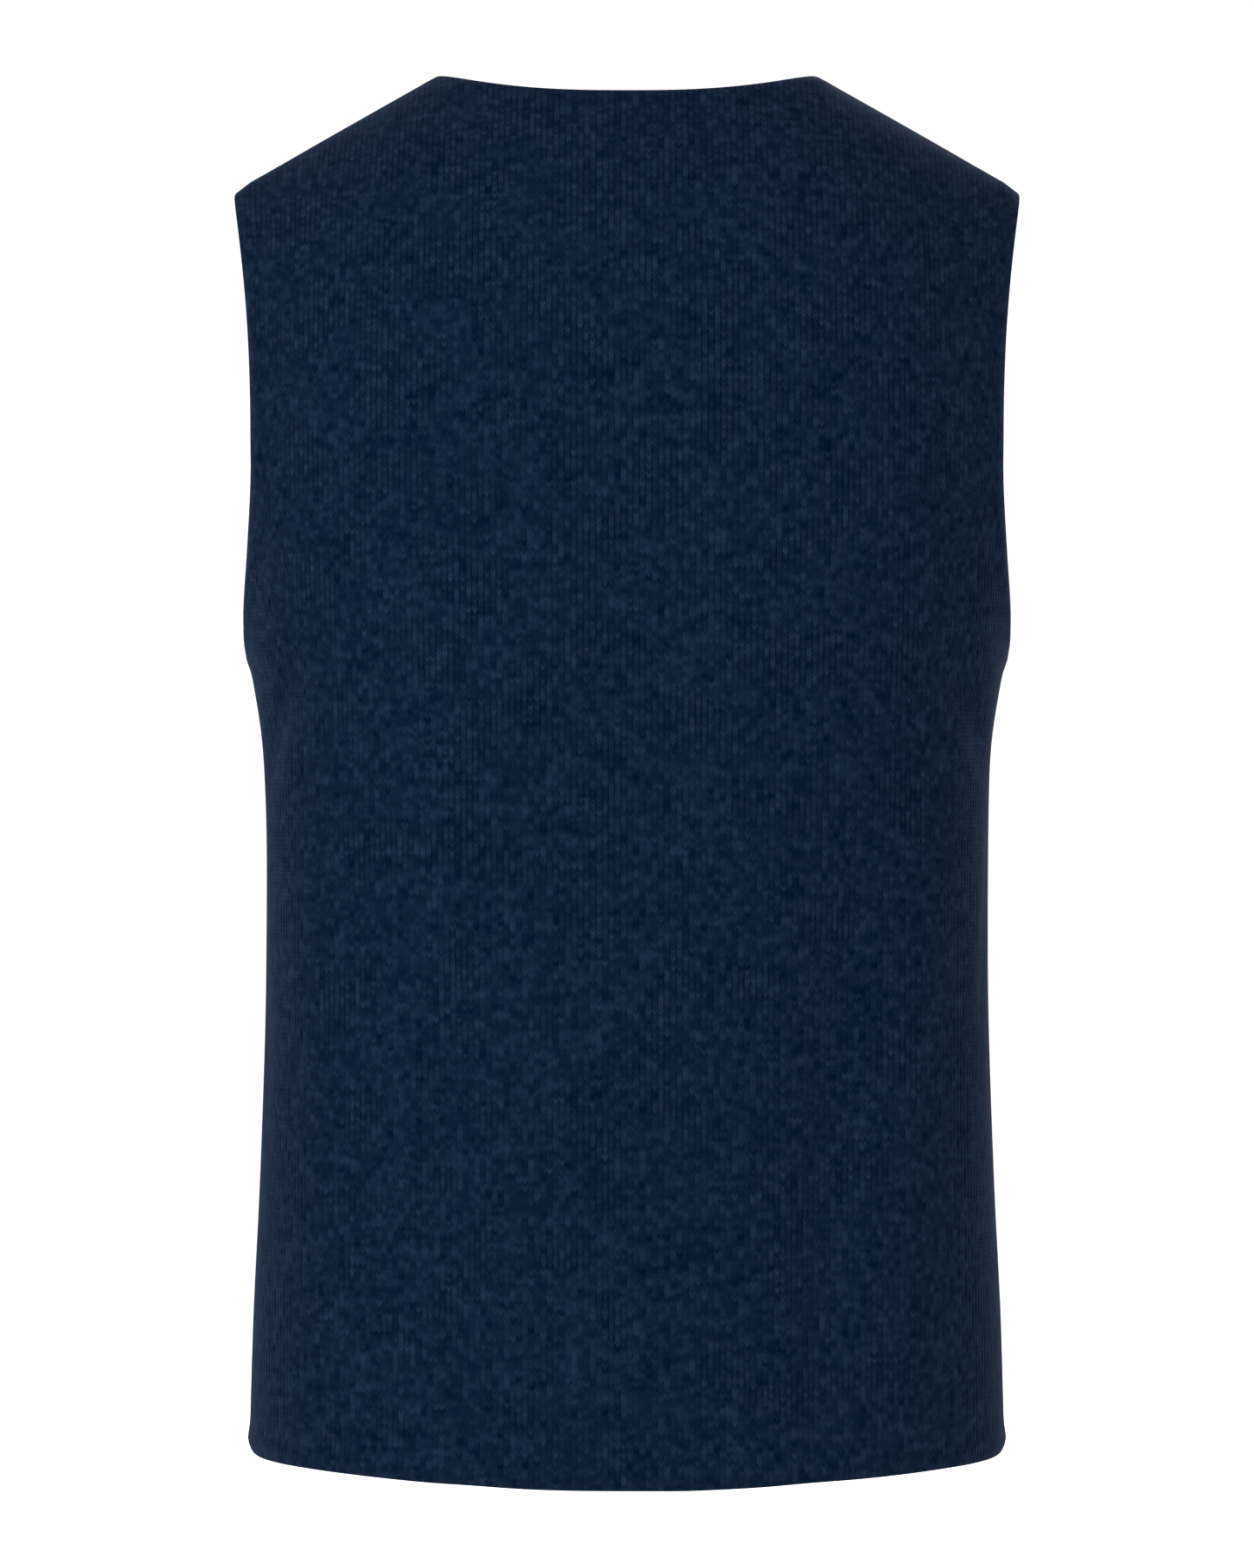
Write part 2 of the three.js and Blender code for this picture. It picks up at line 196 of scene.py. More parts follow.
# %% Rings
def ring_sizes(panel, height):
    """Half width, depth and squareness at heights: a cubic through the table, less the hem's curl."""
    last = len(RINGS) - 1
    low, high = np.maximum(np.arange(last + 1) - 1, 0), np.minimum(np.arange(last + 1) + 1, last)
    slopes = (RINGS[high] - RINGS[low]) / (RINGS[high, :1] - RINGS[low, :1])
    i = np.clip(np.searchsorted(RINGS[:, 0], height, side="right") - 1, 0, last - 1)
    span = (RINGS[i + 1, 0] - RINGS[i, 0])[..., None]
    t = (height - RINGS[i, 0])[..., None] / span
    sizes = RINGS[i] * (2 * t**3 - 3 * t**2 + 1) + RINGS[i + 1] * (3 * t**2 - 2 * t**3)
    sizes += slopes[i] * span * (t**3 - 2 * t**2 + t) + slopes[i + 1] * span * (t**3 - t**2)
    curl = HEM_CURL * np.clip(1 - (height - HEM_LEVEL) / HEM_CURL_HEIGHT, 0, 1) ** 2
    behind = panel is BACK
    return sizes[..., 1 if behind else 2] - curl, sizes[..., 3 if behind else 4] - curl, sizes[..., 5]


def on_ring(panel, turn, height):
    """The point at a turn: radius = (|cos / half| ** n + |sin / depth| ** n) ** (-1 / n)."""
    half, depth, square = ring_sizes(panel, height)
    x, y = np.cos(turn), np.sin(turn)
    radius = (np.abs(x / half) ** square + np.abs(y / depth) ** square) ** (-1 / square)
    return radius * x, radius * y


waist = [round(float(size), 1) for size in ring_sizes(BACK, np.array(190.0))]
print("half width, depth and squareness of the back's waist:", waist)

# %% [markdown]
# ## Places along a ring
# A knitter counts stitches along the cloth, and this lesson does the same: a place on a ring is its
# distance from the panel's centre, as a share of the way to the side seam. A superellipse has no short
# formula for that, so a table of turns against distance is made once for each millimetre of height.

# %% Table of turns
LEVELS = np.arange(-4.0, YOKE_HEIGHT + 4)
SHARES = np.linspace(-0.02, 1.02, 261)
for panel in (BACK, FRONT):
    turns = np.linspace(math.pi / 2 + 0.06, -0.04, 1200)
    table, lengths = [], []
    for level in LEVELS:
        x, y = on_ring(panel, turns, np.full_like(turns, level))
        walked = np.concatenate([[0], np.cumsum(np.hypot(np.diff(x), np.diff(y)))])
        last_turn = SEAM_GAP / 2 / ring_sizes(panel, np.array(level))[0]
        middle, seam = np.interp([-math.pi / 2, -last_turn], -turns, walked)
        lengths.append(seam - middle)
        table.append(np.interp(SHARES * (seam - middle) + middle, walked, turns))
        if level == YOKE_HEIGHT:
            distance = walked - middle
            panel["neck_reach"] = np.interp(NECK_HALF_WIDTH, x[turns < 1.5], distance[turns < 1.5])
            falling = (turns < 1.5) & (turns > 0)
            panel["armhole_reach"] = np.interp(-panel["armhole_depth"], -y[falling], distance[falling])
    panel["turns"], panel["lengths"] = np.array(table), np.array(lengths)
    print(panel["name"], "neck and armhole lie", round(float(panel["neck_reach"]), 1), "and",
          round(float(panel["armhole_reach"]), 1), "mm from the centre at the yoke")


# %% Reading the table
def ring_length(panel, height):
    """The distance along a ring from the panel's centre to its side seam."""
    return np.interp(height, LEVELS, panel["lengths"])


def ring_point(panel, share, height):
    """The place on the cloth at a share of a ring, with the turn read between the table's entries."""
    i = np.clip((height - LEVELS[0]).astype(int), 0, len(LEVELS) - 2)
    across = (share - SHARES[0]) / (SHARES[1] - SHARES[0])
    j = np.clip(across.astype(int), 0, len(SHARES) - 2)
    p, q, turns = height - LEVELS[i], across - j, panel["turns"]
    turn = (turns[i, j] * (1 - q) + turns[i, j + 1] * q) * (1 - p)
    turn += (turns[i + 1, j] * (1 - q) + turns[i + 1, j + 1] * q) * p
    x, y = on_ring(panel, turn, height)
    return np.stack([x, panel["side"] * y, height - NECK_HEIGHT], axis=-1)


print("the back's hem is", round(2 * float(ring_length(BACK, 0)), 1), "mm from side seam to side seam")

# %% [markdown]
# ## Columns and ridge
# A column of the knit is a number from 0 at the panel's centre to 1 at its edge, with the neck point at
# 0.46. Its climb is 0 at the hem, 1 at the yoke and 2 at the shoulder's ridge. Past 2 the back panel
# goes on over the ridge, because the shoulder seam lies a little in front of it.

# %% Columns and ridge
def share_at(panel, column, height):
    """A column's share of a ring. Outside the neck point the columns share what the armhole leaves."""
    length = ring_length(panel, height)
    inside = column / NECK_COLUMN * panel["neck_reach"]
    down = np.clip((YOKE_HEIGHT - height) / (YOKE_HEIGHT - UNDERARM_HEIGHT), 0, 1)
    edge = panel["armhole_reach"] + (length - panel["armhole_reach"]) * (1 - np.sqrt(1 - down**2))
    out = (column - NECK_COLUMN) / (1 - NECK_COLUMN)
    outside = panel["neck_reach"] + (edge - panel["neck_reach"]) * out
    return np.where(column <= NECK_COLUMN, inside, outside) / length


def ridge_of(column):
    """The top of a column's arch: the straight shoulder, and its levelling line inside the neck."""
    out = (column - NECK_COLUMN) / (1 - NECK_COLUMN)
    tip = np.maximum(0, 1 - (1 - out) * 12)
    shoulder = NECK_HEIGHT + (SHOULDER_HEIGHT - NECK_HEIGHT) * out - SHOULDER_ROUNDING * tip
    slope = (NECK_HEIGHT - SHOULDER_HEIGHT) / (SHOULDER_HALF_WIDTH - NECK_HALF_WIDTH)
    across = np.abs(column) / NECK_COLUMN
    rise = slope * NECK_HALF_WIDTH * (1 - np.minimum(across, 1) ** NECK_RISE_POWER) / NECK_RISE_POWER
    outside = column >= NECK_COLUMN
    x = NECK_HALF_WIDTH + (SHOULDER_HALF_WIDTH - NECK_HALF_WIDTH) * out
    x = np.where(outside, x, column / NECK_COLUMN * NECK_HALF_WIDTH)
    return x, np.where(outside, shoulder, NECK_HEIGHT + rise)


print("the ridge ends at height", round(float(ridge_of(np.array(1.0))[1]), 1), "mm")

# %% [markdown]
# ## Arches over the shoulders
# Above the yoke each column leaves its ring and bends over the shoulder, as worn cloth does. One
# function then gives the bare cloth anywhere. Another gives the way out of it, which is square to a
# short step round the body and a short step up it, and so needs no formula for slopes.

# %% Arches and the bare cloth
SHARE_STEP, COLUMN_STEP, TURN_STEP, HEIGHT_STEP = 0.002, 0.002, 0.002, 0.5


def foot_of(panel, column):
    """Where a column's arch stands on the yoke."""
    level = np.full_like(column, YOKE_HEIGHT)
    return ring_point(panel, share_at(panel, column, level), level)


def arch_point(panel, column, turn):
    """A column's arch: y = foot's y * cos, height goes from yoke to ridge by sin, x by sin ** spread."""
    foot = foot_of(panel, column)
    ridge_x, ridge_height = ridge_of(column)
    rise = np.sin(turn * math.pi / 2)
    x = foot[..., 0] + (ridge_x - foot[..., 0]) * np.maximum(0, rise) ** panel["spread"]
    y = foot[..., 1] * np.cos(turn * math.pi / 2)
    z = YOKE_HEIGHT + (ridge_height - YOKE_HEIGHT) * rise - NECK_HEIGHT
    return np.stack([x, y, z], axis=-1)


def cloth_point(panel, column, climb, round_step=0.0, up_step=0.0):
    """The bare cloth at a column and climb, or a short step from there: round it, and up it."""
    height = np.minimum(climb, 1) * YOKE_HEIGHT
    share = share_at(panel, column, height) + SHARE_STEP * round_step
    ring = ring_point(panel, share, height + HEIGHT_STEP * up_step)
    turn = np.maximum(climb, 1) - 1 + TURN_STEP * up_step
    stepped = column + COLUMN_STEP * round_step
    near, far = arch_point(panel, stepped, turn), arch_point(FRONT, stepped, 2 - turn)
    arch = np.where((turn > 1)[..., None], far, near)
    return np.where((climb < 1)[..., None], ring, arch)


def cloth_out(panel, column, climb):
    """The direction out of the cloth: square to a step round the body and a step up it."""
    round_way = cloth_point(panel, column, climb, 1) - cloth_point(panel, column, climb, -1)
    up_way = cloth_point(panel, column, climb, 0, 1) - cloth_point(panel, column, climb, 0, -1)
    out = np.cross(round_way, up_way) * -panel["side"]
    return out / np.linalg.norm(out, axis=-1, keepdims=True)


underarm_point = cloth_point(BACK, np.array(1.0), np.array(UNDERARM_HEIGHT / YOKE_HEIGHT))
print("the underarm is at", underarm_point.round(1), "mm")

# %% [markdown]
# ## Hem, neckline and shoulder seams
# A knitter shapes a panel by where each column starts and ends. Here a column starts on the hem and
# ends on the neckline or the shoulder seam, both given as climbs. So a panel is one rectangle of
# columns and rows, and neither the armholes nor the V have to be cut out of it.

# %% Where columns start and end
def smoothstep(x, low, high):
    """0 below low, 1 above high, and 3t^2 - 2t^3 between them."""
    t = np.clip((x - low) / (high - low), 0, 1)
    return t * t * (3 - 2 * t)


def bottom_of(panel, column):
    """The climb at which a column starts, on the hem, which is lowest at the panel's centre."""
    share = share_at(panel, column, np.zeros_like(column))
    return (HEM_LEVEL + HEM_DIP * smoothstep(share, HEM_DIP_FROM, HEM_DIP_TO)) / YOKE_HEIGHT


def turn_at(panel, column, y):
    """How far a column's arch has turned where it stands at y."""
    return np.arccos(np.clip(y / foot_of(panel, column)[..., 1], -1, 1)) / (math.pi / 2)


def top_of(panel, column):
    """The climb at which a column ends: the neckline inside the neck point, else the shoulder seam."""
    seam_y = SEAM_FORWARD + panel["side"] * SEAM_GAP / 2
    across = np.minimum(column / NECK_COLUMN, 1)
    if panel is BACK:
        behind = (1 - across**BACK_NECK_SQUARE) ** (1 / BACK_NECK_SQUARE)
        y = seam_y - (SEAM_FORWARD + BACK_NECK_DEPTH) * behind
        return np.where(y > 0, 3 - turn_at(FRONT, column, y), 1 + turn_at(BACK, column, y))
    seam_turn = turn_at(FRONT, np.array(NECK_COLUMN), seam_y) * math.pi / 2
    seam_height = YOKE_HEIGHT + (NECK_HEIGHT - YOKE_HEIGHT) * np.sin(seam_turn)
    height = V_POINT_HEIGHT + (seam_height - V_POINT_HEIGHT) * across**V_POWER
    rise = np.clip((height - YOKE_HEIGHT) / (ridge_of(column)[1] - YOKE_HEIGHT), 0, 1)
    v_edge = np.where(height < YOKE_HEIGHT, height / YOKE_HEIGHT, 1 + np.arcsin(rise) / (math.pi / 2))
    return np.where(column >= NECK_COLUMN, 1 + turn_at(FRONT, column, seam_y), v_edge)


print("the V ends at climb", round(float(top_of(FRONT, np.array(0.0))), 3))

# %% [markdown]
# ## Folds
# A worn vest hangs in a few long soft folds. Each row of the table is one: where its middle is, how
# long, wide and deep it is, and how it leans. The first rows are the model's own folds, and the rest
# are shallow ones that only the cloth here has. No two are alike, so none reads as a pattern.

# %% Folds
# Angle round the body from the centre back, height, half length, half width, depth, tilt in degrees.
FOLDS = np.array([
    (0, 300, 120, 34, -2.2, 0),
    (38, 140, 124, 20, -3.2, 5),
    (-33, 115, 100, 17, -2.6, -7),
    (57, 165, 120, 15, 2.4, 3),
    (-60, 140, 100, 16, 2.2, -4),
    (66, 330, 38, 9, -2.6, -48),
    (-68, 326, 44, 9, -2.8, 44),
    (141, 152, 128, 19, -4.6, 6),
    (-146, 128, 100, 17, -4.0, -9),
    (162, 112, 84, 16, 2.8, 4),
    (-124, 150, 120, 15, 2.6, -3),
    (118, 322, 46, 10, -3.6, 52),
    (-116, 328, 40, 10, -3.2, -56),
    (82, 250, 60, 8, -0.9, 12),
    (-84, 215, 75, 9, -0.8, -9),
    (97, 120, 70, 9, 0.9, 6),
    (-101, 175, 55, 8, 0.8, -14),
    (128, 250, 48, 8, -1.1, 38),
    (-131, 262, 40, 7, -1.0, -33),
    (176, 215, 60, 12, -1.0, 3),
    (-172, 60, 50, 11, 0.9, -6),
    (12, 45, 48, 13, 0.7, 9),
    (-14, 70, 60, 14, -0.6, -5),
])
MM_PER_DEGREE = 2.7
FOLDS_FADE_FROM, FOLDS_FADE_TO = 1.3, 1.8


def fold_depth(angle, level, climb):
    """How far the folds move the cloth: the sum of depth * exp(-across ** 2 - along ** 4)."""
    total = np.zeros_like(angle)
    for middle, fold_height, half_length, half_width, depth, tilt in FOLDS:
        turned = ((angle - middle + 180) % 360 - 180) * MM_PER_DEGREE
        up = level - fold_height
        cosine, sine = math.cos(math.radians(tilt)), math.sin(math.radians(tilt))
        along = (up * cosine + turned * sine) / half_length
        across = (turned * cosine - up * sine) / half_width
        total += depth * np.exp(-(across**2) - along**4)
    return total * (1 - smoothstep(climb, FOLDS_FADE_FROM, FOLDS_FADE_TO))


def wall_point(panel, signed_column, climb, offset):
    """A point at an offset in millimetres out of the folded cloth. A column below 0 is on the left."""
    hand, column = np.where(signed_column < 0, -1, 1), np.abs(signed_column)
    point, out = cloth_point(panel, column, climb), cloth_out(panel, column, climb)
    share = share_at(panel, column, np.minimum(climb, 1) * YOKE_HEIGHT)
    angle = hand * (90 * share if panel is BACK else 180 - 90 * share)
    fold = fold_depth(angle, point[..., 2] + NECK_HEIGHT, climb)
    moved = point + out * (fold + offset)[..., None]
    return moved * np.stack([hand, np.ones_like(hand), np.ones_like(hand)], axis=-1)


print(len(FOLDS), "folds")

# %% [markdown]
# ## A grid that is fine at the edges
# The cloth's edges are turned in and rolled, about 3.4 mm thick over the doubled part, so the grid
# needs rows and columns a fraction of a millimetre apart there and only some millimetres apart in the
# middle. Steps that grow from an edge do that. Rows are set out by length along each column.

# %% Grid of columns and climbs
EDGE_STEPS = np.array([0, 0.2, 0.6, 1.2, 2.0, 3.1, 4.6, 6.6, 9.2, 12.4, 16.0])


def graded(low, high, spacing, scale_low=1.0, scale_high=1.0):
    """Values from low to high: the edge steps at both ends and an even spacing between them."""
    first, last = low + EDGE_STEPS * scale_low, high - EDGE_STEPS[::-1] * scale_high
    count = max(2, int(round((last[0] - first[-1]) / spacing)))
    return np.concatenate([first, np.linspace(first[-1], last[0], count + 1)[1:-1], last])


inside_columns = NECK_COLUMN * np.sin(np.linspace(0, math.pi / 2, 27))
outside_columns = NECK_COLUMN + (1 - NECK_COLUMN) * graded(0, 105, 4.2)[1:] / 105
half_columns = np.concatenate([inside_columns, outside_columns])
COLUMNS = np.concatenate([-half_columns[:0:-1], half_columns])
BODY_HEIGHTS = graded(0, UNDERARM_HEIGHT, 4.6)
UPPER_ROWS = 52


def row_climbs(panel, column):
    """The climbs of each column's rows, and the length of the cloth from the hem up to each of them."""
    bottom, top = bottom_of(panel, column), top_of(panel, column)
    settle = np.maximum(0, 1 - BODY_HEIGHTS / 60)
    body = BODY_HEIGHTS[:, None] / YOKE_HEIGHT + bottom * settle[:, None]
    underarm = UNDERARM_HEIGHT / YOKE_HEIGHT
    dense = underarm + (top - underarm) * np.linspace(0, 1, 240)[:, None]
    path = cloth_point(panel, np.broadcast_to(column, dense.shape), dense)
    walked = np.concatenate([np.zeros((1, len(column))),
                             np.cumsum(np.linalg.norm(np.diff(path, axis=0), axis=-1), axis=0)])
    upper = []
    for k, total in enumerate(walked[-1]):
        low_share = min(1, total / 90)
        first, last = EDGE_STEPS * low_share, total - 1.8 * EDGE_STEPS[::-1] * low_share
        middle = np.linspace(first[-1], last[0], UPPER_ROWS - 2 * len(EDGE_STEPS) + 2)[1:-1]
        steps = np.concatenate([first, middle, last])
        upper.append(np.interp(steps, walked[:, k], dense[:, k]))
    climbs = np.concatenate([body, np.array(upper).T[1:]])
    level = np.minimum(climbs, 1) * YOKE_HEIGHT
    above = np.stack([np.interp(climbs[:, k], dense[:, k], walked[:, k]) for k in range(len(column))], 1)
    at_yoke = np.stack([np.interp([1.0], dense[:, k], walked[:, k]) for k in range(len(column))], 1)
    return climbs, level + np.where(climbs > 1, above - at_yoke, 0)


print(len(COLUMNS), "columns and", len(BODY_HEIGHTS) + UPPER_ROWS - 1, "rows a panel")

# %% [markdown]
# ## From arrays to objects
# Every piece is made in the same way: its points and faces come as arrays, and Blender gets them in one
# call. A UV map called knit holds each point's place in the flat knit, in metres, so the pattern
# follows the cloth over shoulders and through folds, as real stitches do.

# %% Mesh helpers
def distance_to_line(points, line):
    """The distance from each point to a line of straight pieces."""
    nearest = np.full(points.shape[:-1], 1e9)
    for start, end in zip(line[:-1], line[1:]):
        way = end - start
        along = np.clip(((points - start) @ way) / max(way @ way, 1e-9), 0, 1)
        nearest = np.minimum(nearest, np.linalg.norm(points - start - along[..., None] * way, axis=-1))
    return nearest


def make_object(name, points, faces, uvs, slots, materials):
    """A mesh object in metres from points in millimetres, with a UV map called knit, shaded smooth."""
    mesh = bpy.data.meshes.new(name)
    mesh.from_pydata((points * MM).tolist(), [], [list(face) for face in faces])
    layer = mesh.uv_layers.new(name="knit")
    corner_points = np.empty(len(mesh.loops), dtype=np.int32)
    mesh.loops.foreach_get("vertex_index", corner_points)
    layer.data.foreach_set("uv", (uvs[corner_points] * MM).astype(np.float32).ravel())
    mesh.polygons.foreach_set("material_index", slots.astype(np.int32))
    mesh.polygons.foreach_set("use_smooth", np.ones(len(faces), dtype=bool))
    for material in materials:
        mesh.materials.append(material)
    mesh.update()
    made = bpy.data.objects.new(name, mesh)
    bpy.context.collection.objects.link(made)
    print(name, len(points), "points,", sum(len(p.vertices) - 2 for p in mesh.polygons), "triangles")
    return made


print("each millimetre is", MM, "m in Blender")

# %% [markdown]
# ## Skins of the panels
# Each panel is one closed skin. Its thickness is 2 mm, and grows to 3.4 mm where the knit is turned in
# along a free edge. Every edge is a half round: within a radius of the edge, which is half the
# thickness, the outer and the inner face drop towards each other as a circle does, and they share the
# last row of points. Two half rounds side by side give a seam its groove. The cloth also swells a
# little along its turned edges and its seams, where it is bulky.

# %% Closed skins from grids
WALL, EDGE_WALL = 2.0, 3.4
TURNED_FROM, TURNED_TO = 4, 9
EDGE_SWELL, SWELL_FROM, SWELL_TO = 0.9, 5, 15
EDGE_ROLL, ROLL_WIDTH = 1.0, 8
SEAM_SWELL, SEAM_SWELL_WIDTH = 0.6, 7
# The climbs between which a free edge's swell and roll die out, so that the neck point stays crisp.
SWELL_ENDS_FROM, SWELL_ENDS_TO = 1.8, 1.95


def panel_skin(panel):
    """The panel's outer and inner grids of points, its pattern places, and its bare grid."""
    hand, column = np.where(COLUMNS < 0, -1, 1), np.abs(COLUMNS)
    climbs, lengths = row_climbs(panel, column)
    signed = np.broadcast_to(COLUMNS, climbs.shape)
    bare = wall_point(panel, signed, climbs, np.zeros_like(climbs))
    foot = len(BODY_HEIGHTS) - 1
    neck = np.flatnonzero(column <= NECK_COLUMN + 1e-9)
    free = [bare[0], bare[-1, neck], bare[foot:, 0], bare[foot:, -1]]
    sewn = [bare[: foot + 1, 0], bare[: foot + 1, -1], bare[-1, : neck[0] + 1], bare[-1, neck[-1] :]]
    to_free = np.min([distance_to_line(bare, line) for line in free], axis=0)
    to_sewn = np.min([distance_to_line(bare, line) for line in sewn], axis=0)
    swell = EDGE_SWELL * (1 - smoothstep(to_free, SWELL_FROM, SWELL_TO))
    swell -= EDGE_ROLL * (1 - smoothstep(to_free, 0, ROLL_WIDTH))
    swell *= 1 - smoothstep(climbs, SWELL_ENDS_FROM, SWELL_ENDS_TO)
    swell += SEAM_SWELL * np.exp(-((to_sewn / SEAM_SWELL_WIDTH) ** 2))
    turned = 1 - smoothstep(to_free, TURNED_FROM, TURNED_TO)
    thick = WALL + (EDGE_WALL - WALL) * turned + swell
    radius = thick / 2
    drop = radius - np.sqrt(radius**2 - np.maximum(0, radius - np.minimum(to_free, to_sewn)) ** 2)
    level = np.minimum(climbs, 1) * YOKE_HEIGHT
    reach = share_at(panel, np.broadcast_to(column, climbs.shape), level) * ring_length(panel, level)
    pattern = np.stack([reach * hand, lengths], axis=-1) + panel["pattern_from"]
    return (wall_point(panel, signed, climbs, swell - drop),
            wall_point(panel, signed, climbs, swell + drop - thick), pattern)


def skin_faces(rows, columns, turned_over):
    """Faces of two grids that share their rim: the outer grid's quads, then the inner grid's."""
    outer = np.arange(rows * columns).reshape(rows, columns)
    inner = outer.copy()
    middle = np.arange((rows - 2) * (columns - 2)).reshape(rows - 2, columns - 2)
    inner[1:-1, 1:-1] = rows * columns + middle
    faces = []
    for grid, flip in ((outer, turned_over), (inner, not turned_over)):
        quads = np.stack([grid[:-1, :-1], grid[:-1, 1:], grid[1:, 1:], grid[1:, :-1]], axis=-1)
        quads = quads.reshape(-1, 4)
        faces.append(quads[:, ::-1] if flip else quads)
    return np.concatenate(faces)


print("the turned edges are", EDGE_WALL, "mm thick and the rest", WALL, "mm")

# %% [markdown]
# ## Stitches
# The panels are plain jersey, machine knitted at a medium gauge. Its face is rows of small Vs: two legs
# of each stitch lean together, one stitch 2.6 mm wide and 1.85 mm high. Its other side, the purl side,
# shows low bumps. Some 100,000 stitches are too many to model, so their height is worked out in the
# material from the flat knit's place, and used as bump.

# %% Height of the stitches
STITCH_WIDTH = 0.0026
STITCH_HEIGHT = 0.00185
# Per side: how far the legs lean, how much of a sine and which power of it a wale's ridge is, and how
# deep the dips between its legs are.
FACE_SIDE = {"lean": 0.9, "width": 0.74, "power": 0.55, "dips": 0.46}
PURL_SIDE = {"lean": -0.35, "width": 0.5, "power": 0.3, "dips": 0.7}


def stitches(tree, place, side):
    """Wale and leg numbers, and height = sin(width * pi * across) ** power * (1 - dips + dips * leg)."""
    wale = add(tree, "Math", {0: (place, "X"), 1: STITCH_WIDTH}, operation="DIVIDE")
    course = add(tree, "Math", {0: (place, "Y"), 1: STITCH_HEIGHT}, operation="DIVIDE")
    # 0 at the border between two wales, 1 along the middle of a wale.
    half = add(tree, "Math", {0: wale, 1: 0.5}, operation="PINGPONG")
    across = add(tree, "Math", {0: half, 1: 2.0}, operation="MULTIPLY")
    lean = add(tree, "Math", {0: across, 1: side["lean"]}, operation="MULTIPLY")
    leg = add(tree, "Math", {0: course, 1: lean}, operation="ADD")
    leg_share = add(tree, "Math", {0: leg}, operation="FRACT")
    leg_turn = add(tree, "Math", {0: leg_share, 1: math.pi}, operation="MULTIPLY")
    leg_round = add(tree, "Math", {0: leg_turn}, operation="SINE")
    across_turn = add(tree, "Math", {0: across, 1: math.pi * side["width"]}, operation="MULTIPLY")
    across_round = add(tree, "Math", {0: across_turn}, operation="SINE")
    ridge = add(tree, "Math", {0: across_round, 1: side["power"]}, operation="POWER")
    body = add(tree, "Math", {0: leg_round, 1: side["dips"], 2: 1 - side["dips"]},
               operation="MULTIPLY_ADD")
    stitch = add(tree, "Math", {0: ridge, 1: body}, operation="MULTIPLY")
    return wale, leg, stitch


print(round(0.01 / STITCH_WIDTH, 1), "wales and", round(0.01 / STITCH_HEIGHT, 1), "rows to a centimetre")

# %% [markdown]
# ## Heather
# The yarn is lambswool spun from fibres dyed in several navy blues. It changes tone along its length,
# which runs across the cloth, and loosely from wale to wale, and the eye reads that as a fine mottle.
# Four noises at those scales are added up, and a ramp from dark to light navy colours the sum.

# %% Colour of the wool
YARN_LENGTH, WALE_LENGTH, STREAK_LENGTH, STREAK_HEIGHT = 0.0062, 0.006, 0.02, 0.0044


def heather(tree, place, wale, leg):
    """Tone = 0.2 * stitch + 0.42 * yarn + 0.7 * wale + 0.26 * streak - 0.285, through the ramp."""
    wale_number = add(tree, "Math", {0: wale}, operation="FLOOR")
    leg_number = add(tree, "Math", {0: leg}, operation="FLOOR")
    stitch_place = add(tree, "CombineXYZ", {"X": wale_number, "Y": leg_number})
    stitch_tone = add(tree, "TexWhiteNoise", {"Vector": stitch_place}, noise_dimensions="2D")
    course_number = add(tree, "Math", {0: leg_number, 1: 7.31}, operation="MULTIPLY")
    along_yarn = add(tree, "Math", {0: (place, "X"), 1: 1 / YARN_LENGTH}, operation="MULTIPLY")
    yarn_place = add(tree, "CombineXYZ", {"X": along_yarn, "Y": course_number})
    yarn_tone = add(tree, "TexNoise", {"Vector": yarn_place, "Scale": 1.0, "Detail": 1.0},
                    noise_dimensions="2D")
    column_number = add(tree, "Math", {0: wale_number, 1: 5.73}, operation="MULTIPLY")
    along_wale = add(tree, "Math", {0: (place, "Y"), 1: 1 / WALE_LENGTH}, operation="MULTIPLY")
    wale_place = add(tree, "CombineXYZ", {"X": column_number, "Y": along_wale})
    wale_tone = add(tree, "TexNoise", {"Vector": wale_place, "Scale": 1.0, "Detail": 1.0},
                    noise_dimensions="2D")
    flat_place = (tree.nodes["UV Map"], "UV")
    streak_place = add(tree, "VectorMath", {0: flat_place, 1: (1 / STREAK_LENGTH, 1 / STREAK_HEIGHT, 0)},
                       operation="MULTIPLY")
    streak_settings = {"Vector": streak_place, "Scale": 1.0, "Detail": 2.5, "Roughness": 0.6}
    streak_tone = add(tree, "TexNoise", streak_settings, noise_dimensions="2D")
    tone = add(tree, "Math", {0: (stitch_tone, "Value"), 1: 0.2, 2: -0.285}, operation="MULTIPLY_ADD")
    for part, share in ((yarn_tone, 0.42), (wale_tone, 0.7), (streak_tone, 0.26)):
        tone = add(tree, "Math", {0: part, 1: share, 2: tone}, operation="MULTIPLY_ADD")
    ramp = add(tree, "ValToRGB", {"Fac": tone})
    ramp.color_ramp.elements[0].position = 0.2
    ramp.color_ramp.elements[0].color = linear("#000C1F")
    ramp.color_ramp.elements[1].position = 0.8
    ramp.color_ramp.elements[1].color = linear("#142134")
    middle = ramp.color_ramp.elements.new(0.5)
    middle.color = linear("#091628")
    return ramp


print("streaks of", round(STREAK_LENGTH / MM), "mm across the cloth")

# %% [markdown]
# ## Wool jersey
# Wool fibres scatter light, so the cloth is matt, with hardly any gloss, and its loose fibres catch the
# light at the rims as a soft blue sheen. The colour is darker in the grooves between the wales and
# lighter on their ridges, as painted shade and painted light. Fuzz hides the grooves in some patches,
# and more of them low down, where a vest rubs and pills, and there the painted shade is weaker.

# %% Materials for the knit
# How big the fuzzy patches are, where the painted stitch shade is weaker, and the stitch height at which
# painted shade turns into painted light.
PATCH_SIZE = 0.028
MEAN_STITCH = 0.7


